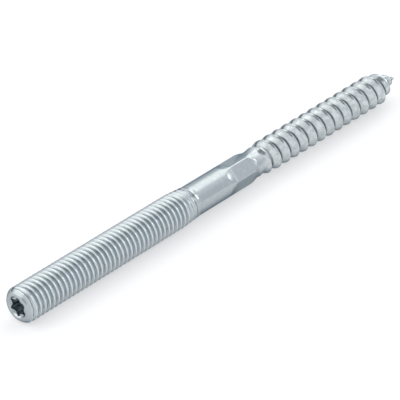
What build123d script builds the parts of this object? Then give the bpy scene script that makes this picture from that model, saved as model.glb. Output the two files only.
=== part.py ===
"""Hanger bolt, M8 x 120 mm, with a coarse wood thread of 3 mm pitch.

A double-ended stud, one piece of zinc-plated steel. From its drive end it has a
machine thread with a six-lobe recess in the end face, a plain shank, a short
pressed hexagon for a spanner, and a wood thread that runs out in a gimlet point.

It lies along X on its widest part, the machine thread, with the recess at -X and
the point at +X. The origin is in the middle of the underside of its box.

Every form is drawn about the bolt's own axis first. A station is a distance along
that axis from the recess end, and an angle is counted about it from +Y to +Z.

The machine thread is a plain cylinder of its major diameter, with the chamfer at
its start and the taper of its last turns. The wood thread is a true helix.
"""

import math
import os

from build123d import *

# --- Driving dimensions, in millimetres and degrees ------------------------------
LENGTH = 120.0

# machine-threaded half
MACHINE_DIAMETER = 8.0
MACHINE_END = 46.2
RUN_OUT_END = 51.4
END_FACE_DIAMETER = 6.2
END_CHAMFER_LENGTH = 1.1
END_FACE_ROUNDING = 0.6
END_SHOULDER_ROUNDING = 1.0
# where the turned faces' seam runs, so that a faceted copy lies on a flat of its thread
SEAM_ANGLE = 6.0

# six-lobe drive recess, size 25
LOBE_COUNT = 6
LOBE_TIP_DIAMETER = 4.5
LOBE_ROOT_DIAMETER = 3.26
LOBE_TIP_RADIUS = 0.38
FIRST_LOBE_ANGLE = 30.0
RECESS_DEPTH = 2.9
RECESS_FLOOR_DEPTH = 0.5
LEAD_IN_DIAMETER = 4.9
LEAD_IN_DEPTH = 0.35

# plain shank, pressed hexagon and neck
SHANK_DIAMETER = 7.13
FLAT_COUNT = 6
ACROSS_FLATS = 6.3
FIRST_FLAT_ANGLE = 15.0
FLAT_START = 60.7
FLAT_RAMP_LENGTH = 1.5
DIE_OVERRUN_ANGLE = 12.0
CORNER_END = 68.7
NECK_START = 70.3
NECK_DIAMETER = 6.2
NECK_END = 71.5

# wood-threaded half
WOOD_DIAMETER = 7.4
WOOD_CORE_DIAMETER = 5.5
WOOD_PITCH = 3.0
WOOD_CORE_START = 73.6
RUN_IN_START = 70.4
RUN_IN_MIDDLE = 72.7
RUN_IN_MIDDLE_DIAMETER = 6.6
RIDGE_FULL_START = 74.9
RIDGE_FULL_END = 111.9
POINT_START = 112.9
POINT_MIDDLE = 115.6
POINT_MIDDLE_DIAMETER = 5.3
POINT_THREAD_END = 119.3
POINT_THREAD_DIAMETER = 1.2
POINT_CORE_DIAMETER = 0.7

# the wood thread's section: each corner's distance along the axis from the middle
# of the crest, and its share of the thread's height. The flank that faces the
# recess end is the gentler one, and the crest's far edge is sharp.
WOOD_SECTION = (
    (-1.40, 0.00),
    (-0.45, 0.84),
    (0.14, 1.00),
    (0.66, 0.00),
)
# how far the ridge's foot is sunk in the core, and its crest's start in the neck
ROOT_SINK = 0.2
START_SINK = 0.1

# (radius, station) corners that the crest follows, and the ridge's width there
CREST_OUTLINE = (
    (NECK_DIAMETER / 2 - START_SINK, RUN_IN_START - WOOD_PITCH),
    (NECK_DIAMETER / 2 - START_SINK, RUN_IN_START),
    (RUN_IN_MIDDLE_DIAMETER / 2, RUN_IN_MIDDLE),
    (WOOD_DIAMETER / 2, RIDGE_FULL_START),
    (WOOD_DIAMETER / 2, POINT_START),
    (POINT_MIDDLE_DIAMETER / 2, POINT_MIDDLE),
    (POINT_THREAD_DIAMETER / 2, POINT_THREAD_END),
    (POINT_THREAD_DIAMETER / 2, LENGTH + WOOD_PITCH),
)
CREST_WIDTHS = (
    (0.6, RUN_IN_START),
    (0.8, RUN_IN_MIDDLE),
    (1.0, RIDGE_FULL_START),
    (1.0, POINT_START),
    (0.5, POINT_THREAD_END),
)


def revolved(outline):
    """A solid turned about the axis from (radius, station) corners."""
    return revolve(Plane.XZ * make_face(Polyline(*outline, close=True)), Axis.Z)


def wood_core_outline():
    """The (radius, station) corners of the neck, the wood thread's core and the point."""
    tip = POINT_CORE_DIAMETER / 2
    return [
        (NECK_DIAMETER / 2, NECK_START),
        (NECK_DIAMETER / 2, NECK_END),
        (WOOD_CORE_DIAMETER / 2, WOOD_CORE_START),
        (WOOD_CORE_DIAMETER / 2, POINT_START),
        (tip, LENGTH - tip),
        (0, LENGTH),
    ]


def turned_blank():
    """The bolt as turned stock: steps, tapers, core of the wood thread and point."""
    shank = SHANK_DIAMETER / 2
    blank = revolved(
        [
            (0, 0),
            (END_FACE_DIAMETER / 2, 0),
            (MACHINE_DIAMETER / 2, END_CHAMFER_LENGTH),
            (MACHINE_DIAMETER / 2, MACHINE_END),
            (shank, RUN_OUT_END),
            (shank, CORNER_END),
        ]
        + wood_core_outline()
    )
    # the shoulder is the second rim from the end face, once they are in order
    shoulder = blank.edges().filter_by(GeomType.CIRCLE).group_by(Axis.Z)[1]
    blank = fillet(shoulder, END_SHOULDER_ROUNDING)
    face_rim = blank.edges().filter_by(GeomType.CIRCLE).group_by(Axis.Z)[0]
    return fillet(face_rim, END_FACE_ROUNDING)


def polar(radius, angle):
    """A point of the end face's plane at a radius and an angle."""
    return Vector(radius * math.cos(math.radians(angle)), radius * math.sin(math.radians(angle)))


def lobed_outline():
    """The recess's outline: rounded lobes joined by tangent hollows between them."""
    half_step = 180.0 / LOBE_COUNT
    lobe_centre = LOBE_TIP_DIAMETER / 2 - LOBE_TIP_RADIUS
    root = LOBE_ROOT_DIAMETER / 2
    cosine = math.cos(math.radians(half_step))
    # radius of the hollows, from the tangency of a hollow with its lobe
    hollow_radius = (lobe_centre**2 + root**2 - 2 * lobe_centre * root * cosine - LOBE_TIP_RADIUS**2) / (
        2 * (LOBE_TIP_RADIUS - root + lobe_centre * cosine)
    )
    arcs = []
    for lobe in range(LOBE_COUNT):
        angle = FIRST_LOBE_ANGLE + 2 * half_step * lobe
        centre = polar(lobe_centre, angle)
        before = polar(root + hollow_radius, angle - half_step)
        after = polar(root + hollow_radius, angle + half_step)
        start = centre + (before - centre).normalized() * LOBE_TIP_RADIUS
        end = centre + (after - centre).normalized() * LOBE_TIP_RADIUS
        end_angle = math.degrees(math.atan2(end.Y, end.X))
        next_start = polar(end.length, 2 * (angle + half_step) - end_angle)
        arcs.append(ThreePointArc(start, polar(LOBE_TIP_DIAMETER / 2, angle), end))
        arcs.append(ThreePointArc(end, polar(root, angle + half_step), next_start))
    return make_face(arcs)


def drive_recess():
    """The tool space of the six-lobe recess, with its lead-in and coned floor."""
    socket = extrude(lobed_outline(), RECESS_DEPTH)
    lead_in = revolved(
        [
            (0, -LEAD_IN_DEPTH),
            (LEAD_IN_DIAMETER / 2 + LEAD_IN_DEPTH, -LEAD_IN_DEPTH),
            (LEAD_IN_DIAMETER / 2 - LEAD_IN_DEPTH, LEAD_IN_DEPTH),
            (0, LEAD_IN_DEPTH),
        ]
    )
    floor = revolved(
        [
            (0, RECESS_DEPTH - RECESS_FLOOR_DEPTH),
            (LOBE_ROOT_DIAMETER / 2, RECESS_DEPTH - RECESS_FLOOR_DEPTH),
            (LOBE_ROOT_DIAMETER / 2, RECESS_DEPTH),
            (0, RECESS_DEPTH + RECESS_FLOOR_DEPTH),
        ]
    )
    return socket + lead_in + floor


def flat_cutter():
    """What one die takes off the shank: a flat with a hollow ramp at its start."""
    flat = ACROSS_FLATS / 2
    drop = SHANK_DIAMETER / 2 - flat
    ramp_radius = (FLAT_RAMP_LENGTH**2 + drop**2) / (2 * drop)
    ramp_end = FLAT_START + FLAT_RAMP_LENGTH
    ramp_centre = flat + ramp_radius
    # the arc runs on above the shank's surface, so that the cut leaves no sliver
    over_angle = math.asin(FLAT_RAMP_LENGTH / ramp_radius) + math.radians(DIE_OVERRUN_ANGLE)
    over = (
        ramp_centre - ramp_radius * math.cos(over_angle),
        ramp_end - ramp_radius * math.sin(over_angle),
    )
    middle = (
        ramp_centre - ramp_radius * math.cos(over_angle / 2),
        ramp_end - ramp_radius * math.sin(over_angle / 2),
    )
    ramp = ThreePointArc((flat, ramp_end), middle, over)
    sides = Polyline(
        over,
        (MACHINE_DIAMETER, over[1]),
        (MACHINE_DIAMETER, NECK_START + drop),
        (flat, NECK_START + drop),
        (flat, ramp_end),
    )
    return extrude(Plane.XZ * make_face([ramp, sides]), MACHINE_DIAMETER / 2, both=True)


def spiral(start, end, turns):
    """A helix about the axis between two (station, radius) points, from angle 0."""
    height = end[0] - start[0]
    taper = math.atan2(end[1] - start[1], height)
    return Edge.make_helix(
        pitch=height / turns / math.cos(taper),
        height=height,
        radius=start[1],
        center=(0, 0, start[0]),
        angle=math.degrees(taper),
    )


def radius_at(outline, station):
    """The radius of a (radius, station) outline at a station, or at its nearer end."""
    station = min(max(station, outline[0][1]), outline[-1][1])
    for (low_radius, low), (high_radius, high) in zip(outline, outline[1:]):
        if station <= high:
            return low_radius + (high_radius - low_radius) * (station - low) / (high - low)


def ridge_corners(station):
    """The ridge's (station, radius) corners where its crest passes a station."""
    core_outline = wood_core_outline()
    width = radius_at(CREST_WIDTHS, station)
    corners = []
    for along, share in WOOD_SECTION:
        place = station + along * width
        core = radius_at(core_outline, place)
        crest = radius_at(CREST_OUTLINE, place)
        corners.append((place, core + share * (crest - core)))
    first, last = corners[0], corners[-1]
    return [(first[0], first[1] - ROOT_SINK)] + corners + [(last[0], last[1] - ROOT_SINK)]


def ridge_faces(first, last, ends):
    """The faces of a stretch of ridge between two stations, with the ends asked for."""
    turns = (last - first) / WOOD_PITCH
    spirals = [spiral(one, two, turns) for one, two in zip(ridge_corners(first), ridge_corners(last))]
    neighbours = spirals[1:] + spirals[:1]
    faces = [Face.make_surface_from_curves(one, two) for one, two in zip(spirals, neighbours)]
    faces += [Face(Wire.make_polygon([edge @ end for edge in spirals])) for end in ends]
    return [Rot(0, 0, 360 * first / WOOD_PITCH) * face for face in faces]


def ridge_stations():
    """Where the ridge is cut into stretches of a turn or so, all along the thread."""
    turns = round((RIDGE_FULL_END - RIDGE_FULL_START) / WOOD_PITCH)
    step = (RIDGE_FULL_END - RIDGE_FULL_START) / turns
    full = [RIDGE_FULL_START + step * turn for turn in range(turns + 1)]
    return [RUN_IN_START, RUN_IN_MIDDLE] + full + [POINT_MIDDLE, POINT_THREAD_END]


def wood_thread():
    """The ridge of the wood thread: run-in, full turns, and the taper of the point."""
    stations = ridge_stations()
    faces = []
    for first, last in zip(stations, stations[1:]):
        ends = [0] * (first == stations[0]) + [1] * (last == stations[-1])
        faces += ridge_faces(first, last, ends)
    return Solid(Shell(faces))


def hanger_bolt():
    """The whole bolt, drawn upright about its own axis."""
    bolt = Rot(0, 0, SEAM_ANGLE) * turned_blank() - drive_recess()
    for flat in range(FLAT_COUNT):
        angle = FIRST_FLAT_ANGLE + 360 / FLAT_COUNT * flat
        bolt -= Rot(0, 0, angle) * flat_cutter()
    return bolt + wood_thread()


def main():
    lying = Plane(origin=(-LENGTH / 2, 0, MACHINE_DIAMETER / 2), x_dir=(0, 1, 0), z_dir=(1, 0, 0))
    bolt = hanger_bolt()
    bolt = bolt.moved(Location(lying))
    print("valid", bolt.is_valid, "solids", len(bolt.solids()), "volume", round(bolt.volume, 1))
    os.makedirs("parts", exist_ok=True)
    export_step(bolt, "parts/hanger_bolt.step")


main()
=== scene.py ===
"""Hanger bolt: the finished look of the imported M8 x 120 part, laid out as a Blender add-on.

The bolt lies along X. It is drawn about the X axis first, with a station as the
distance from its recess end and an angle counted about the axis from +Y to +Z, and is
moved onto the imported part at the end. Each section is an open skin with a ring at
each end, and the last step sews the rings together into one closed piece.
"""

import math

import bmesh
import bpy
import numpy as np
from bpy.props import FloatProperty, FloatVectorProperty, IntProperty, PointerProperty
from mathutils import Matrix, Vector


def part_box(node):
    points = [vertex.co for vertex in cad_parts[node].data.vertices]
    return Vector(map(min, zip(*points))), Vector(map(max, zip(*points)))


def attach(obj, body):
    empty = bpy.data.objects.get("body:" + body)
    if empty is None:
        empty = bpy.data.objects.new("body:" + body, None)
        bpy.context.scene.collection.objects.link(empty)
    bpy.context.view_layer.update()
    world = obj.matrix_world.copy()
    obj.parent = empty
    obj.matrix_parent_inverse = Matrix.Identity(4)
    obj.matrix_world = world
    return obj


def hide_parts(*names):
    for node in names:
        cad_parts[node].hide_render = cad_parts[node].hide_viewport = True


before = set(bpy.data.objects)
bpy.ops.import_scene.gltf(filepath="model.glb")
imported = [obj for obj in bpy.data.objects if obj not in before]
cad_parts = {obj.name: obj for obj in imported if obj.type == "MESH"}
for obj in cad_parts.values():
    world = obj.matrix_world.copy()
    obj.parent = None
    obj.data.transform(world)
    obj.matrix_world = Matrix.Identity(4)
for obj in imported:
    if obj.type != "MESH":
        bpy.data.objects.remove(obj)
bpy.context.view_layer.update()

bl_info = {
    "name": "Hanger bolt",
    "version": (1, 0, 0),
    "blender": (4, 5, 0),
    "location": "View3D > Sidebar > Hanger bolt",
    "description": "A zinc-plated stud with a machine thread, a pressed hexagon and a wood thread",
    "category": "Object",
}

BOLT_LOW, BOLT_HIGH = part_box("hanger_bolt")
BOLT_LENGTH = BOLT_HIGH.x - BOLT_LOW.x
MACHINE_RADIUS = (BOLT_HIGH.z - BOLT_LOW.z) / 2
MM = 0.001


def length(name, description, millimetres):
    """A length property, kept in metres, with its default in millimetres."""
    return FloatProperty(
        name=name, description=description, default=millimetres * MM, unit="LENGTH"
    )


def angle(name, description, degrees):
    """An angle property, with its default in degrees."""
    return FloatProperty(
        name=name, description=description, default=math.radians(degrees), subtype="ANGLE"
    )


def tint(name, description, colour):
    """A colour property."""
    return FloatVectorProperty(name=name, description=description, default=colour, subtype="COLOR")


def factor(name, description, value):
    """A property between 0 and 1."""
    return FloatProperty(name=name, description=description, default=value, subtype="FACTOR")


class MachineThreadSizes(bpy.types.PropertyGroup):
    """The machine-threaded half."""

    pitch: length("Pitch", "Distance between neighbouring crests", 1.25)
    depth: length("Depth", "Height of the crests above the roots", 0.767)
    full_end: length("Full end", "Station where the thread starts to fade out", 46.2)
    run_out_end: length("Run-out end", "Station where the thread has faded out", 51.4)


class DriveEndSizes(bpy.types.PropertyGroup):
    """The rounded end face and its six-lobe recess."""

    lobe_tip_radius: length("Lobe tip", "Distance of the lobes' tips from the axis", 2.25)
    lobe_root_radius: length("Lobe root", "Distance of the hollows from the axis", 1.63)
    lobe_rounding: length("Lobe rounding", "Radius of the rounded lobe tips", 0.38)
    recess_depth: length("Recess depth", "Depth of the recess's walls", 2.9)
    floor_depth: length("Floor depth", "Further depth of the coned floor", 0.5)
    lead_in_radius: length("Lead-in", "Radius of the lead-in at the end face", 2.45)
    lead_in_depth: length("Lead-in depth", "Depth of the lead-in", 0.35)
    lobe_count: IntProperty(name="Lobes", description="Number of lobes", default=6)
    first_lobe: angle("First lobe", "Angle of the first lobe", 30)


class ShankSizes(bpy.types.PropertyGroup):
    """The plain shank, the pressed hexagon and the neck."""

    radius: length("Shank radius", "Radius of the plain shank", 3.565)
    flat_distance: length("Flat distance", "Distance of a flat from the axis", 3.15)
    flat_start: length("Flat start", "Station where the ramps down to the flats start", 60.7)
    ramp_length: length("Ramp length", "Length of the hollow ramp at a flat's start", 2.8)
    corner_end: length("Corner end", "Station where the hexagon's corners slope down", 67.9)
    neck_start: length("Neck start", "Station where the slope meets the neck", 70.3)
    neck_radius: length("Neck radius", "Radius of the neck", 3.1)
    flat_count: IntProperty(name="Flats", description="Number of flats", default=6)
    first_flat: angle("First flat", "Angle of the first flat's normal", 15)


class WoodThreadSizes(bpy.types.PropertyGroup):
    """The wood-threaded half with its point."""

    pitch: length("Pitch", "Distance between neighbouring crests", 3.0)
    crest_radius: length("Crest radius", "Radius of the full crests", 3.7)
    core_radius: length("Core radius", "Radius of the core", 2.75)
    neck_end: length("Neck end", "Station where the neck tapers down to the core", 71.5)
    core_start: length("Core start", "Station where the core has its full depth", 73.6)
    start: length("Thread start", "Station where the thread rises from the neck", 70.4)
    run_in_middle: length("Run-in middle", "Station at the middle of the low first turns", 72.7)
    run_in_radius: length("Run-in radius", "Radius of the crest at that station", 3.3)
    full_start: length("Full start", "Station where the thread has its full height", 74.9)
    point_start: length("Point start", "Station where the point starts to taper", 112.9)
    thread_end: length("Thread end", "Station where the thread dies away in the point", 119.3)
    tip_radius: length("Tip radius", "Radius of the blunt tip", 0.38)


class ZincFinish(bpy.types.PropertyGroup):
    """The zinc plating."""

    colour: tint("Colour", "Colour of the plating", (0.44, 0.48, 0.50))
    dull: tint("Dull", "Colour of the duller patches", (0.35, 0.40, 0.42))
    bright: tint("Bright", "Colour of the wood thread's plating", (0.60, 0.64, 0.65))
    film: tint("Film", "Colour of the film in the machine thread", (0.60, 0.67, 0.70))
    # painted shade: a dark colour laid in the wood thread's roots, where the crests shade them
    painted_root_shade: tint("Grime", "Colour of the dirt in the wood thread", (0.10, 0.13, 0.14))
    # the rubbed crests' brighter colour is also a painted highlight along the machine thread's
    # crests
    worn_and_highlight: tint("Worn", "Colour of the rubbed crests", (0.64, 0.68, 0.70))
    glancing: tint("Glancing", "Colour towards a glancing view", (0.25, 0.30, 0.34))
    smooth_roughness: factor("Smooth roughness", "Roughness on the shank", 0.17)
    rough_roughness: factor("Rough roughness", "Roughness on the wood thread", 0.24)


class StageSettings(bpy.types.PropertyGroup):
    """The camera and the floor."""

    camera_place: FloatVectorProperty(
        name="Camera place",
        description="Where the camera stands",
        default=(-0.33724, -0.30133, 0.30349),
        subtype="TRANSLATION",
    )
    focal_length: FloatProperty(
        name="Focal length",
        description="Focal length on a 36 mm sensor",
        default=228.0,
        unit="CAMERA",
    )
    floor_size: length("Floor size", "Side of the floor", 6000.0)
    floor_colour: tint("Floor colour", "Colour of the floor", (0.55, 0.55, 0.56))
    floor_lift: factor("Floor lift", "Light added where the floor is seen", 0.45)


# --- Modelling helpers -----------------------------------------------------------

THREAD_SIDES = 96
RECESS_SIDES = 144
MERGE_REACH = 0.002 * MM
CUT_TOLERANCE = 1e-7
# the rise of a surface without a thread, where a root has 0 and a full crest has 1
PLAIN_RISE = 0.8


def deselect_all():
    """Leaves nothing selected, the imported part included."""
    bpy.ops.object.select_all(action="DESELECT")


def choose(piece):
    """Selects one piece alone and makes it the active one."""
    deselect_all()
    bpy.context.view_layer.objects.active = piece
    piece.select_set(True)


def edit(piece):
    """Opens a piece in edit mode with all of it selected."""
    choose(piece)
    bpy.ops.object.mode_set(mode="EDIT")
    bpy.ops.mesh.select_all(action="SELECT")


def leave():
    """Closes edit mode."""
    bpy.ops.object.mode_set(mode="OBJECT")


def draw_outline(name, corners):
    """A chain of edges through (station, radius) corners, extruded from one point."""
    deselect_all()
    bpy.ops.mesh.primitive_plane_add(size=MM, location=(0, 0, 0))
    piece = bpy.context.active_object
    piece.name = name
    edit(piece)
    bpy.ops.mesh.merge(type="CENTER")
    place = Vector((corners[0][0], corners[0][1], 0))
    bpy.ops.transform.translate(value=place)
    for station, radius in corners[1:]:
        step = Vector((station, radius, 0)) - place
        bpy.ops.mesh.extrude_vertices_move(TRANSFORM_OT_translate={"value": step})
        place += step
    leave()
    return piece


def sweep(piece, sides, turns=1, pitch=0.0):
    """Turns an outline about the axis, and along it by a pitch for each turn."""
    screw = piece.modifiers.new("Sweep", "SCREW")
    screw.axis = "X"
    screw.steps = sides
    screw.render_steps = sides
    screw.iterations = turns
    screw.screw_offset = pitch
    choose(piece)
    bpy.ops.object.modifier_apply(modifier=screw.name)
    merge_points(piece)


def merge_points(piece):
    """Merges the points of a piece that lie on each other."""
    edit(piece)
    bpy.ops.mesh.remove_doubles(threshold=MERGE_REACH)
    leave()


def trim(piece, first, last):
    """Cuts a skin off square at two stations."""
    edit(piece)
    for station, side in ((first, "clear_inner"), (last, "clear_outer")):
        bpy.ops.mesh.select_all(action="SELECT")
        bpy.ops.mesh.bisect(
            plane_co=(station, 0, 0), plane_no=(1, 0, 0), threshold=CUT_TOLERANCE, **{side: True}
        )
    leave()


def places_of(piece):
    """Each point's place, as rows of an array."""
    places = np.empty(len(piece.data.vertices) * 3)
    piece.data.vertices.foreach_get("co", places)
    return places.reshape(-1, 3)


def put_places(piece, places):
    """Moves each point to its row's place."""
    piece.data.vertices.foreach_set("co", places.ravel())
    piece.data.update()


def round_about(places):
    """Each place's distance from the axis, and its angle about it."""
    return np.hypot(places[:, 1], places[:, 2]), np.arctan2(places[:, 2], places[:, 1])


def set_radii(piece, radius_of):
    """Moves each point straight out from the axis, to what its station and radius give."""
    places = places_of(piece)
    radii, angles = round_about(places)
    wanted = radius_of(places[:, 0], radii)
    places[:, 1] = wanted * np.cos(angles)
    places[:, 2] = wanted * np.sin(angles)
    put_places(piece, places)


def mark_rise(piece, crest_of, height, plain_radius):
    """Keeps for the finish how far up a thread each point stands, from 0 at a root.

    A full crest has a rise of 1, and where the thread fades out it falls to the plain rise.
    """
    places = places_of(piece)
    radii, _ = round_about(places)
    crests = crest_of(places[:, 0])
    faded = np.clip((crests.max() - crests) / (crests.max() - plain_radius), 0.0, 1.0)
    shares = 1 - (crests - radii) / height - (1 - PLAIN_RISE) * faded
    rise = piece.data.attributes.new("rise", "FLOAT", "POINT")
    rise.data.foreach_set("value", shares.astype(np.float32))


def mark_plain(piece):
    """Gives a section without a thread the plain rise all over."""
    shares = np.full(len(piece.data.vertices), PLAIN_RISE, dtype=np.float32)
    rise = piece.data.attributes.new("rise", "FLOAT", "POINT")
    rise.data.foreach_set("value", shares)


def along(outline, stations):
    """The radii of a (station, radius) outline at some stations."""
    corner_stations, corner_radii = zip(*outline)
    return np.interp(stations, corner_stations, corner_radii)


def arc(centre, radius, start, end, count):
    """(station, radius) corners on a circular arc, between two angles in degrees."""
    corners = []
    for step in range(count + 1):
        turn = math.radians(start + (end - start) * step / count)
        station = centre[0] + radius * math.cos(turn)
        corners.append((station, centre[1] + radius * math.sin(turn)))
    return corners


def thread_skin(name, section, pitch, root, height, turns, first_station):
    """A helical skin: one pitch of section, swept about the axis for a number of turns."""
    corners = [
        (first_station + pitch_share * pitch, root + height_share * height)
        for pitch_share, height_share in section
    ]
    piece = draw_outline(name, corners)
    sweep(piece, THREAD_SIDES, turns, pitch)
    return piece


# --- The bolt's sections ---------------------------------------------------------

# one pitch of each thread from root to root: share of the pitch, share of the height
MACHINE_SECTION = (
    (-0.50, 0.0),
    (-0.45, 0.02),
    (-0.40, 0.08),
    (-0.35, 0.19),
    (-0.17, 0.81),
    (-0.12, 0.92),
    (-0.06, 0.98),
    (0.0, 1.0),
    (0.06, 0.98),
    (0.12, 0.92),
    (0.17, 0.81),
    (0.35, 0.19),
    (0.40, 0.08),
    (0.45, 0.02),
    (0.50, 0.0),
)
WOOD_SECTION = (
    (-0.62, 0.0),
    (-0.56, 0.02),
    (-0.50, 0.085),
    (-0.44, 0.19),
    (-0.38, 0.32),
    (-0.30, 0.50),
    (-0.22, 0.68),
    (-0.15, 0.82),
    (-0.09, 0.90),
    (-0.03, 0.955),
    (0.03, 0.99),
    (0.05, 1.0),
    (0.065, 0.98),
    (0.08, 0.92),
    (0.14, 0.45),
    (0.19, 0.12),
    (0.22, 0.02),
    (0.26, 0.0),
    (0.38, 0.0),
)

# how the wood thread's crest falls over the point: share of the point, share of the radius
POINT_SHARES = ((0.0, 1.0), (0.30, 0.80), (0.64, 0.48), (0.78, 0.27))

# stations at which one section ends and the next begins, and how far the seams between reach
END_RING = 0.15 * MM
SHANK_RING = 52.0 * MM
NECK_RING = 70.4 * MM
SHANK_SEAM = 0.3 * MM
NARROW_SEAM = 0.05 * MM
SEAM_MARGIN = 0.01 * MM


def end_outline():
    """The rounded rim of the drive end, which also cuts the first turn of the thread."""
    return (
        (0.0, 2.70 * MM),
        (0.03 * MM, 2.90 * MM),
        (0.10 * MM, 3.07 * MM),
        (0.22 * MM, 3.24 * MM),
        (0.45 * MM, 3.46 * MM),
        (0.75 * MM, 3.71 * MM),
        (1.00 * MM, 3.87 * MM),
        (1.30 * MM, 3.97 * MM),
        (1.60 * MM, MACHINE_RADIUS),
        (BOLT_LENGTH, MACHINE_RADIUS),
    )


def end_face_outline():
    """The part of the rim that belongs to the end face, ahead of the thread."""
    return [corner for corner in end_outline() if corner[0] < END_RING]


# the first groove: where it starts and where it is full, and how deep it starts
FIRST_GROOVE_START = 0.7 * MM
FIRST_GROOVE_FULL = 2.0 * MM
FIRST_GROOVE_DEPTH = 0.2 * MM


class BOLT_OT_machine_thread(bpy.types.Operator):
    """Cuts the machine thread, from the rounded end to where it fades into the shank"""

    bl_idname = "bolt.machine_thread"
    bl_label = "Machine thread"

    def execute(self, context):
        sizes, shank = context.scene.machine_thread, context.scene.shank
        root = MACHINE_RADIUS - sizes.depth
        spare_turns = 2
        turns = math.ceil((SHANK_RING + (spare_turns + 1) * sizes.pitch) / sizes.pitch)
        thread = thread_skin(
            "machine_thread",
            MACHINE_SECTION,
            sizes.pitch,
            root,
            sizes.depth,
            turns,
            -spare_turns * sizes.pitch,
        )
        rim = end_outline()
        # the first groove deepens from a shallow scratch on the rim
        roots = (
            (FIRST_GROOVE_START, MACHINE_RADIUS - FIRST_GROOVE_DEPTH),
            (FIRST_GROOVE_FULL, root),
            (sizes.full_end, root),
            (sizes.run_out_end, shank.radius),
        )
        crests = ((sizes.full_end, MACHINE_RADIUS), (sizes.run_out_end, shank.radius))

        def crest_of(stations):
            return np.minimum(along(crests, stations), along(rim, stations))

        def radius_of(stations, radii):
            share = (radii - root) / sizes.depth
            low, high = along(roots, stations), along(crests, stations)
            return np.minimum(low + share * (high - low), along(rim, stations))

        set_radii(thread, radius_of)
        trim(thread, END_RING, SHANK_RING)
        mark_rise(thread, crest_of, sizes.depth, shank.radius)
        return {"FINISHED"}


def lobed_radii(sizes, angles):
    """The recess outline's distance from the axis: rounded lobes joined by tangent hollows."""
    half_step = math.pi / sizes.lobe_count
    tip_centre = sizes.lobe_tip_radius - sizes.lobe_rounding
    root, rounding = sizes.lobe_root_radius, sizes.lobe_rounding
    cosine = math.cos(half_step)
    hollow = (tip_centre**2 + root**2 - 2 * tip_centre * root * cosine - rounding**2) / (
        2 * (rounding - root + tip_centre * cosine)
    )
    hollow_centre = root + hollow
    # angle off the lobe's middle at which its tip's arc meets the hollow's
    lean = math.atan2(hollow_centre * math.sin(half_step), hollow_centre * cosine - tip_centre)
    meeting_angle = math.atan2(rounding * math.sin(lean), tip_centre + rounding * math.cos(lean))
    off_middle = np.abs((angles - sizes.first_lobe + half_step) % (2 * half_step) - half_step)
    off_hollow = half_step - off_middle
    tip = tip_centre * np.cos(off_middle) + np.sqrt(
        np.maximum(rounding**2 - (tip_centre * np.sin(off_middle)) ** 2, 0)
    )
    dip = hollow_centre * np.cos(off_hollow) - np.sqrt(
        np.maximum(hollow**2 - (hollow_centre * np.sin(off_hollow)) ** 2, 0)
    )
    return np.where(off_middle < meeting_angle, tip, dip)


FLOOR_EDGE_SHARE = 0.9
FLOOR_EDGE_DROP = 0.02 * MM


class BOLT_OT_drive_end(bpy.types.Operator):
    """Makes the end face and the six-lobe recess in it"""

    bl_idname = "bolt.drive_end"
    bl_label = "Drive end"

    def execute(self, context):
        sizes = context.scene.drive_end
        sweep(draw_outline("end_face", end_face_outline()[::-1]), THREAD_SIDES)

        ledge = sizes.lead_in_radius - sizes.lead_in_depth
        floor_edge = FLOOR_EDGE_SHARE * sizes.lobe_root_radius
        steps = {
            "face": (0.0, sizes.lead_in_radius),
            "lead_in": (0.5 * sizes.lead_in_depth, ledge),
            "ledge": (sizes.lead_in_depth, ledge),
            "wall": (sizes.recess_depth, ledge),
            "floor": (sizes.recess_depth + FLOOR_EDGE_DROP, floor_edge),
            "middle": (sizes.recess_depth + sizes.floor_depth, 0.0),
        }
        recess = draw_outline("drive_recess", list(steps.values()))
        sweep(recess, RECESS_SIDES)

        # three of the round rings take the lobes' outline, as far as each one shows it
        places = places_of(recess)
        radii, angles = round_about(places)
        lobes = lobed_radii(sizes, angles)

        def ring(name):
            return np.abs(places[:, 0] - steps[name][0]) < MERGE_REACH / 2

        lead_in, edge, wall = ring("lead_in"), ring("ledge"), ring("wall")
        outer = np.maximum(lobes, ledge)
        radii[lead_in] = outer[lead_in]
        radii[edge] = lobes[edge]
        radii[wall] = lobes[wall]
        places[lead_in, 0] = sizes.lead_in_radius - outer[lead_in]
        places[edge, 0] = np.minimum(sizes.lead_in_depth, sizes.lead_in_radius - lobes[edge])
        places[:, 1] = radii * np.cos(angles)
        places[:, 2] = radii * np.sin(angles)
        put_places(recess, places)
        merge_points(recess)
        return {"FINISHED"}


SLOPE_STEPS = 8
RAMP_STEPS = 16
TIP_STEPS = 6
RING_BEFORE_FLATS = 0.1 * MM
DIE_OVERRUN = 2.0 * MM
DIE_OVERRUN_ANGLE = 12.0
SQUARE_NORMAL = 0.99


def shank_outline(sizes, start, end):
    """The shank, its slope down to the neck, and the flat faces that close it at both ends."""
    fall, drop = sizes.neck_start - sizes.corner_end, sizes.radius - sizes.neck_radius
    slope = []
    for step in range(SLOPE_STEPS + 1):
        share = step / SLOPE_STEPS
        radius = sizes.radius - drop * (1 - math.cos(share * math.pi)) / 2
        slope.append((sizes.corner_end + share * fall, radius))
    # a ring just before the flats keeps their ramps out of the plain shank's shading
    before_flats = sizes.flat_start - RING_BEFORE_FLATS
    return [
        (start, 0.0),
        (start, sizes.radius),
        (before_flats, sizes.radius),
        *slope,
        (end, sizes.neck_radius),
        (end, 0.0),
    ]


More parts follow.
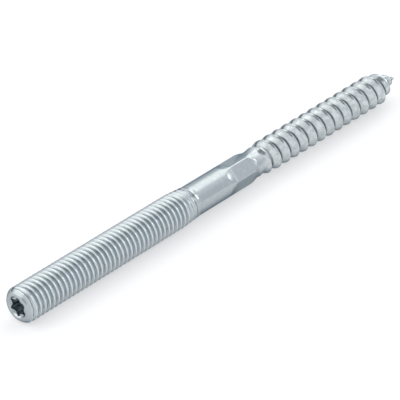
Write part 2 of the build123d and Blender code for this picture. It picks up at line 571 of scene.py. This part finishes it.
def flat_die(sizes):
    """A block with the form of what one flat and its ramp take off the shank."""
    depth = sizes.radius - sizes.flat_distance
    ramp_radius = (sizes.ramp_length**2 + depth**2) / (2 * depth)
    ramp_end = sizes.flat_start + sizes.ramp_length
    lift = math.degrees(math.asin(sizes.ramp_length / ramp_radius)) + DIE_OVERRUN_ANGLE
    centre = (ramp_end, sizes.flat_distance + ramp_radius)
    ramp = arc(centre, ramp_radius, -90 - lift, -90, RAMP_STEPS)
    half_width = MACHINE_RADIUS / 2
    far = sizes.neck_start + DIE_OVERRUN
    block = [(far, sizes.flat_distance), (far, MACHINE_RADIUS), (ramp[0][0], MACHINE_RADIUS)]
    die = draw_outline("die", ramp + block)
    edit(die)
    bpy.ops.mesh.edge_face_add()
    bpy.ops.transform.translate(value=(0, 0, -half_width))
    widen = {"value": (0, 0, 2 * half_width)}
    bpy.ops.mesh.extrude_region_move(TRANSFORM_OT_translate=widen)
    bpy.ops.mesh.select_all(action="SELECT")
    bpy.ops.mesh.normals_make_consistent(inside=False)
    leave()
    return die


def open_ends(piece, stations):
    """Takes off the flat faces that close a section at some stations."""
    edit(piece)
    bpy.ops.mesh.select_all(action="DESELECT")
    mesh = bmesh.from_edit_mesh(piece.data)
    for face in mesh.faces:
        middle = face.calc_center_median().x
        distance = min(abs(middle - station) for station in stations)
        if abs(face.normal.x) > SQUARE_NORMAL and distance < SEAM_MARGIN:
            face.select_set(True)
    bmesh.update_edit_mesh(piece.data)
    bpy.ops.mesh.delete(type="FACE")
    leave()


class BOLT_OT_shank(bpy.types.Operator):
    """Turns the plain shank and presses the hexagon into it"""

    bl_idname = "bolt.shank"
    bl_label = "Shank and hexagon"

    def execute(self, context):
        sizes = context.scene.shank
        start, end = SHANK_RING + SHANK_SEAM, NECK_RING - NARROW_SEAM
        shank = draw_outline("shank", shank_outline(sizes, start, end))
        sweep(shank, THREAD_SIDES)
        die = flat_die(sizes)
        for flat in range(sizes.flat_count):
            copy = die.copy()
            copy.data = die.data.copy()
            context.scene.collection.objects.link(copy)
            turn = sizes.first_flat + 2 * math.pi * flat / sizes.flat_count
            copy.data.transform(Matrix.Rotation(turn, 4, "X"))
            press = shank.modifiers.new("Press", "BOOLEAN")
            press.operation = "DIFFERENCE"
            press.solver = "EXACT"
            press.object = copy
            choose(shank)
            bpy.ops.object.modifier_apply(modifier=press.name)
            bpy.data.objects.remove(copy)
        bpy.data.objects.remove(die)
        open_ends(shank, (start, end))
        return {"FINISHED"}


class BOLT_OT_wood_thread(bpy.types.Operator):
    """Cuts the wood thread and tapers it into the point"""

    bl_idname = "bolt.wood_thread"
    bl_label = "Wood thread"

    def execute(self, context):
        sizes, shank = context.scene.wood_thread, context.scene.shank
        height = sizes.crest_radius - sizes.core_radius
        first = math.floor(NECK_RING / sizes.pitch) - 1
        last = math.ceil(BOLT_LENGTH / sizes.pitch) + 1
        thread = thread_skin(
            "wood_thread",
            WOOD_SECTION,
            sizes.pitch,
            sizes.core_radius,
            height,
            last - first,
            first * sizes.pitch,
        )
        point_length = BOLT_LENGTH - sizes.point_start
        cores = (
            (sizes.neck_end, shank.neck_radius),
            (sizes.core_start, sizes.core_radius),
            (sizes.point_start, sizes.core_radius),
            (sizes.thread_end, sizes.tip_radius),
        )
        point = (
            (sizes.point_start + along_point * point_length, share * sizes.crest_radius)
            for along_point, share in POINT_SHARES
        )
        crests = (
            (sizes.start, shank.neck_radius),
            (sizes.run_in_middle, sizes.run_in_radius),
            (sizes.full_start, sizes.crest_radius),
            *point,
            (sizes.thread_end, sizes.tip_radius),
        )

        def crest_of(stations):
            return along(crests, stations)

        def radius_of(stations, radii):
            share = (radii - sizes.core_radius) / height
            low, high = along(cores, stations), crest_of(stations)
            return low + share * (high - low)

        set_radii(thread, radius_of)
        tip_ring = BOLT_LENGTH - sizes.tip_radius
        trim(thread, NECK_RING, tip_ring - NARROW_SEAM)
        mark_rise(thread, crest_of, height, shank.neck_radius)

        tip_corners = arc((tip_ring, 0.0), sizes.tip_radius, 90, 0, TIP_STEPS)
        sweep(draw_outline("tip", tip_corners), THREAD_SIDES)
        return {"FINISHED"}


SMOOTH_UP_TO = math.radians(26)
PLAIN_SECTIONS = ("drive_recess", "end_face", "shank", "tip")
THREADED_SECTIONS = ("machine_thread", "wood_thread")


class BOLT_OT_sew(bpy.types.Operator):
    """Sews the sections into one closed bolt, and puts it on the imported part"""

    bl_idname = "bolt.sew"
    bl_label = "Sew the sections"

    def execute(self, context):
        for name in PLAIN_SECTIONS:
            mark_plain(bpy.data.objects[name])
        deselect_all()
        for name in (*PLAIN_SECTIONS, *THREADED_SECTIONS):
            bpy.data.objects[name].select_set(True)
        bolt = bpy.data.objects["shank"]
        context.view_layer.objects.active = bolt
        bpy.ops.object.join()
        bolt.name = "bolt"

        # each pair of open rings to be bridged lies between two stations
        tip_ring = BOLT_LENGTH - context.scene.wood_thread.tip_radius
        seams = (
            (0.0, 0.0),
            (end_face_outline()[-1][0], END_RING),
            (SHANK_RING, SHANK_RING + SHANK_SEAM),
            (NECK_RING - NARROW_SEAM, NECK_RING),
            (tip_ring - NARROW_SEAM, tip_ring),
        )
        edit(bolt)
        bpy.ops.mesh.select_mode(type="EDGE")
        for low, high in seams:
            bpy.ops.mesh.select_all(action="DESELECT")
            mesh = bmesh.from_edit_mesh(bolt.data)
            for edge in mesh.edges:
                middle = (edge.verts[0].co.x + edge.verts[1].co.x) / 2
                if edge.is_boundary and low - SEAM_MARGIN <= middle <= high + SEAM_MARGIN:
                    edge.select_set(True)
            bmesh.update_edit_mesh(bolt.data)
            bpy.ops.mesh.bridge_edge_loops()
        bpy.ops.mesh.select_all(action="SELECT")
        bpy.ops.mesh.normals_make_consistent(inside=False)
        mesh = bmesh.from_edit_mesh(bolt.data)
        open_edges = sum(1 for edge in mesh.edges if not edge.is_manifold)
        if open_edges:
            raise RuntimeError(f"the bolt has {open_edges} open edges")
        bpy.ops.transform.translate(value=(BOLT_LOW.x, 0, BOLT_LOW.z + MACHINE_RADIUS))
        leave()
        bpy.ops.object.shade_smooth_by_angle(angle=SMOOTH_UP_TO)

        bolt.data.materials.clear()
        bolt.data.materials.append(zinc_plating(context.scene.zinc))
        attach(bolt, "root")
        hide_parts("hanger_bolt")
        return {"FINISHED"}


# --- Finish ----------------------------------------------------------------------

CLOUD_SCALE, CLOUD_DETAIL = 900.0, 4.0
RIPPLE_SCALE, RIPPLE_DETAIL = 350.0, 2.0
NOISE_ROUGHNESS = 0.6
GRAIN_SHARE = 0.25
BUMP_STRENGTH = 0.4
BUMP_HEIGHT = 0.05 * MM

# bands of the clouds' value: nearly all of it, and the part where a dull patch sets in
CLOUD_BAND = (0.3, 0.7)
PATCH_BAND = (0.38, 0.60)

# stations between which the machine half's finish gives way to the wood half's
WOOD_FINISH_START = 70 * MM
WOOD_FINISH_FULL = 73 * MM

# values on the machine half and on the wood half: how strong the dull patches are, and the
# rise that the pale film or the painted root shade reaches
PATCH_STRENGTH = (0.3, 0.6)
FILM_AND_SHADE_REACH = (0.72, 0.14)

# how far the clouds shift the edge of the film or the painted root shade, over which height it
# thins out, and over which rise a crest is rubbed bright and given a painted highlight
EDGE_SHIFT = (-0.2, 0.2)
THINNING = (0.1, 1.0)
RUBBED_AND_HIGHLIT_BAND = (PLAIN_RISE, 0.97)

# what the film or the painted root shade adds to the roughness, and what the clouds add
COATED_ROUGHNESS = 0.25
CLOUD_ROUGHNESS = (-0.03, 0.04)


def map_range(nodes, links, value, low, high, start=0.0, end=1.0):
    """A clamped straight ramp of a value, from start at low to end at high."""
    ramp = nodes.new("ShaderNodeMapRange")
    ramp.inputs["From Min"].default_value = low
    ramp.inputs["From Max"].default_value = high
    ramp.inputs["To Min"].default_value = start
    ramp.inputs["To Max"].default_value = end
    links.new(value, ramp.inputs["Value"])
    return ramp.outputs["Result"]


def arithmetic(nodes, links, operation, first, second):
    """A Math node on two values, each a socket or a number."""
    node = nodes.new("ShaderNodeMath")
    node.operation = operation
    for slot, value in zip(node.inputs, (first, second)):
        if isinstance(value, (int, float)):
            slot.default_value = value
        else:
            links.new(value, slot)
    return node.outputs["Value"]


def blend(nodes, links, share, first, second):
    """A mix of two colours, each a socket or a triple, by a share."""
    node = nodes.new("ShaderNodeMix")
    node.data_type = "RGBA"
    links.new(share, node.inputs["Factor"])
    for name, value in (("A", first), ("B", second)):
        if isinstance(value, bpy.types.NodeSocket):
            links.new(value, node.inputs[name])
        else:
            node.inputs[name].default_value = (*value, 1.0)
    return node.outputs["Result"]


def noise(nodes, links, vector, scale, detail):
    """A noise texture's value."""
    node = nodes.new("ShaderNodeTexNoise")
    node.inputs["Scale"].default_value = scale
    node.inputs["Detail"].default_value = detail
    node.inputs["Roughness"].default_value = NOISE_ROUGHNESS
    links.new(vector, node.inputs["Vector"])
    return node.outputs["Fac"]


def zinc_plating(finish):
    """Blue-passivated zinc: crests rubbed bright, which also paints a highlight; cloudy on the
    wood thread, with painted shade in its roots.
    """
    material = bpy.data.materials.new("zinc_plating")
    material.use_nodes = True
    nodes, links = material.node_tree.nodes, material.node_tree.links
    shader = nodes["Principled BSDF"]
    shader.inputs["Metallic"].default_value = 1.0
    shader.inputs["Specular Tint"].default_value = (*finish.glancing, 1.0)

    place = nodes.new("ShaderNodeTexCoord").outputs["Object"]
    axis = nodes.new("ShaderNodeSeparateXYZ")
    links.new(place, axis.inputs["Vector"])
    start, full = BOLT_LOW.x + WOOD_FINISH_START, BOLT_LOW.x + WOOD_FINISH_FULL
    wood = map_range(nodes, links, axis.outputs["X"], start, full)
    mark = nodes.new("ShaderNodeAttribute")
    mark.attribute_name = "rise"
    rise = mark.outputs["Fac"]

    # cloudy patches, clearer on the wood thread than elsewhere
    cloud = noise(nodes, links, place, CLOUD_SCALE, CLOUD_DETAIL)
    patch = map_range(nodes, links, cloud, *PATCH_BAND)
    strength = map_range(nodes, links, wood, 0.0, 1.0, *PATCH_STRENGTH)
    dullness = arithmetic(nodes, links, "MULTIPLY", patch, strength)
    colour = blend(nodes, links, wood, finish.colour, finish.bright)
    colour = blend(nodes, links, dullness, colour, finish.dull)

    # a pale film covers the machine thread's flanks, and painted shade darkens the wood thread's
    # roots
    film_and_root_shade = blend(nodes, links, wood, finish.film, finish.painted_root_shade)
    reach = map_range(nodes, links, wood, 0.0, 1.0, *FILM_AND_SHADE_REACH)
    ragged = map_range(nodes, links, cloud, *CLOUD_BAND, *EDGE_SHIFT)
    height = arithmetic(nodes, links, "DIVIDE", rise, reach)
    height = arithmetic(nodes, links, "ADD", height, ragged)
    clear = map_range(nodes, links, height, *THINNING)
    colour = blend(nodes, links, clear, film_and_root_shade, colour)

    # the machine thread's crests are rubbed bright, which also paints a highlight along them
    crest = map_range(nodes, links, rise, *RUBBED_AND_HIGHLIT_BAND)
    rubbed = arithmetic(nodes, links, "SUBTRACT", crest, wood)
    colour = blend(nodes, links, rubbed, colour, finish.worn_and_highlight)
    links.new(colour, shader.inputs["Base Color"])

    smooth, rough = finish.smooth_roughness, finish.rough_roughness
    roughness = map_range(nodes, links, wood, 0.0, 1.0, smooth, rough)
    for more in (
        map_range(nodes, links, clear, 0.0, 1.0, COATED_ROUGHNESS, 0.0),
        map_range(nodes, links, cloud, *CLOUD_BAND, *CLOUD_ROUGHNESS),
    ):
        roughness = arithmetic(nodes, links, "ADD", roughness, more)
    links.new(roughness, shader.inputs["Roughness"])

    # fine grain all over, and ripples on the wood thread
    ripple = noise(nodes, links, place, RIPPLE_SCALE, RIPPLE_DETAIL)
    ripple = arithmetic(nodes, links, "MULTIPLY", ripple, wood)
    grain = arithmetic(nodes, links, "MULTIPLY", cloud, GRAIN_SHARE)
    bump = nodes.new("ShaderNodeBump")
    bump.inputs["Strength"].default_value = BUMP_STRENGTH
    bump.inputs["Distance"].default_value = BUMP_HEIGHT
    links.new(arithmetic(nodes, links, "ADD", ripple, grain), bump.inputs["Height"])
    links.new(bump.outputs["Normal"], shader.inputs["Normal"])
    return material


# --- Stage -----------------------------------------------------------------------


def floor_material(settings):
    """A pale floor that keeps a light shadow, and is lifted to white wherever it is seen."""
    material = bpy.data.materials.new("floor")
    material.use_nodes = True
    nodes, links = material.node_tree.nodes, material.node_tree.links
    shader = nodes["Principled BSDF"]
    shader.inputs["Base Color"].default_value = (*settings.floor_colour, 1.0)
    shader.inputs["Roughness"].default_value = 0.9
    shader.inputs["Specular IOR Level"].default_value = 0.0
    shader.inputs["Emission Color"].default_value = (1.0, 1.0, 1.0, 1.0)
    rays = nodes.new("ShaderNodeLightPath").outputs
    seen = arithmetic(nodes, links, "MAXIMUM", rays["Is Camera Ray"], rays["Is Glossy Ray"])
    seen = arithmetic(nodes, links, "MAXIMUM", seen, rays["Is Transmission Ray"])
    lift = arithmetic(nodes, links, "MULTIPLY", seen, settings.floor_lift)
    links.new(lift, shader.inputs["Emission Strength"])
    return material


# the studio's light, and its soft zones: where each one's middle lies, how wide it is to where
# it starts to fade and to where it ends, in degrees, and its light; a later one covers an earlier
STUDIO_LIGHT = (1.10, 1.11, 1.14)
STUDIO_ZONES = (
    ("far wall", (1.0, 0.1, 0.1), 18.0, 36.0, (0.50, 0.52, 0.54)),
    ("right wall", (0.62, -0.75, 0.15), 16.0, 42.0, (0.88, 0.90, 0.94)),
    ("far window", (0.87, 0.32, 0.38), 8.0, 18.0, (2.5, 2.5, 2.5)),
    ("far lamp", (0.893, -0.285, 0.35), 7.5, 13.5, (4.2, 4.2, 4.2)),
    ("near wall", (-0.95, -0.06, 0.20), 10.0, 27.0, (0.50, 0.55, 0.58)),
    ("side wall", (0.10, 1.0, 0.04), 9.0, 23.0, (0.09, 0.11, 0.12)),
    ("front softbox", (-0.62, 0.55, 0.56), 20.0, 38.0, (1.75, 1.75, 1.71)),
    ("back softbox", (0.615, 0.24, 0.75), 6.0, 31.0, (1.95, 1.95, 1.91)),
    ("gap overhead", (0.25, 0.0, 0.97), 8.0, 20.0, (0.20, 0.22, 0.24)),
    ("gap beside it", (0.05, -0.42, 0.90), 6.0, 20.0, (0.20, 0.23, 0.25)),
)


def studio_world():
    """A pale studio with greyer walls, a window and a lamp, and softboxes with dark gaps above."""
    world = bpy.data.worlds.new("studio")
    world.use_nodes = True
    nodes, links = world.node_tree.nodes, world.node_tree.links
    direction = nodes.new("ShaderNodeTexCoord").outputs["Generated"]
    colour = STUDIO_LIGHT
    for name, middle, inner, outer, light in STUDIO_ZONES:
        nearness = nodes.new("ShaderNodeVectorMath")
        nearness.label = name
        nearness.operation = "DOT_PRODUCT"
        nearness.inputs[1].default_value = Vector(middle).normalized()
        links.new(direction, nearness.inputs[0])
        edge, full = math.cos(math.radians(outer)), math.cos(math.radians(inner))
        share = map_range(nodes, links, nearness.outputs["Value"], edge, full)
        share.node.interpolation_type = "SMOOTHSTEP"
        colour = blend(nodes, links, share, colour, light)
    links.new(colour, nodes["Background"].inputs["Color"])
    return world


# the camera's two directions, and its sensor in millimetres
CAMERA_FORWARD = Vector((0.6146, 0.5585, -0.5572)).normalized()
CAMERA_RIGHT = Vector((0.6726, -0.7401, 0.0)).normalized()
SENSOR_WIDTH = 36.0


class BOLT_OT_stage(bpy.types.Operator):
    """Sets the floor, the surroundings and the camera"""

    bl_idname = "bolt.stage"
    bl_label = "Stage"

    def execute(self, context):
        scene, settings = context.scene, context.scene.stage
        deselect_all()
        bpy.ops.mesh.primitive_plane_add(size=settings.floor_size, location=(0, 0, 0))
        floor = context.active_object
        floor.name = "floor"
        floor.data.materials.append(floor_material(settings))

        scene.world = studio_world()
        camera = bpy.data.objects.new("camera", bpy.data.cameras.new("camera"))
        camera.data.lens = settings.focal_length
        camera.data.sensor_width = SENSOR_WIDTH
        camera.data.clip_start = 10 * MM
        up = CAMERA_RIGHT.cross(CAMERA_FORWARD)
        turn = Matrix((CAMERA_RIGHT, up, -CAMERA_FORWARD)).transposed().to_4x4()
        camera.matrix_world = Matrix.Translation(settings.camera_place) @ turn
        scene.collection.objects.link(camera)
        scene.camera = camera
        scene.view_settings.view_transform = "Standard"
        return {"FINISHED"}


class BOLT_PT_panel(bpy.types.Panel):
    """Lists the steps that make the bolt and its stage"""

    bl_idname = "BOLT_PT_panel"
    bl_label = "Hanger bolt"
    bl_space_type = "VIEW_3D"
    bl_region_type = "UI"
    bl_category = "Hanger bolt"

    def draw(self, context):
        for operator in OPERATORS:
            self.layout.operator(operator.bl_idname)


OPERATORS = (
    BOLT_OT_drive_end,
    BOLT_OT_machine_thread,
    BOLT_OT_shank,
    BOLT_OT_wood_thread,
    BOLT_OT_sew,
    BOLT_OT_stage,
)
SETTINGS = {
    "machine_thread": MachineThreadSizes,
    "drive_end": DriveEndSizes,
    "shank": ShankSizes,
    "wood_thread": WoodThreadSizes,
    "zinc": ZincFinish,
    "stage": StageSettings,
}


def register():
    """Registers the settings, the operators and the panel."""
    for name, group in SETTINGS.items():
        bpy.utils.register_class(group)
        setattr(bpy.types.Scene, name, PointerProperty(type=group))
    for operator in OPERATORS:
        bpy.utils.register_class(operator)
    bpy.utils.register_class(BOLT_PT_panel)


def unregister():
    """Takes back what register() added."""
    bpy.utils.unregister_class(BOLT_PT_panel)
    for operator in reversed(OPERATORS):
        bpy.utils.unregister_class(operator)
    for name, group in reversed(SETTINGS.items()):
        delattr(bpy.types.Scene, name)
        bpy.utils.unregister_class(group)


def main():
    """Makes the bolt and its stage."""
    register()
    bpy.ops.bolt.drive_end()
    bpy.ops.bolt.machine_thread()
    bpy.ops.bolt.shank()
    bpy.ops.bolt.wood_thread()
    bpy.ops.bolt.sew()
    bpy.ops.bolt.stage()


if __name__ == "__main__":
    main()
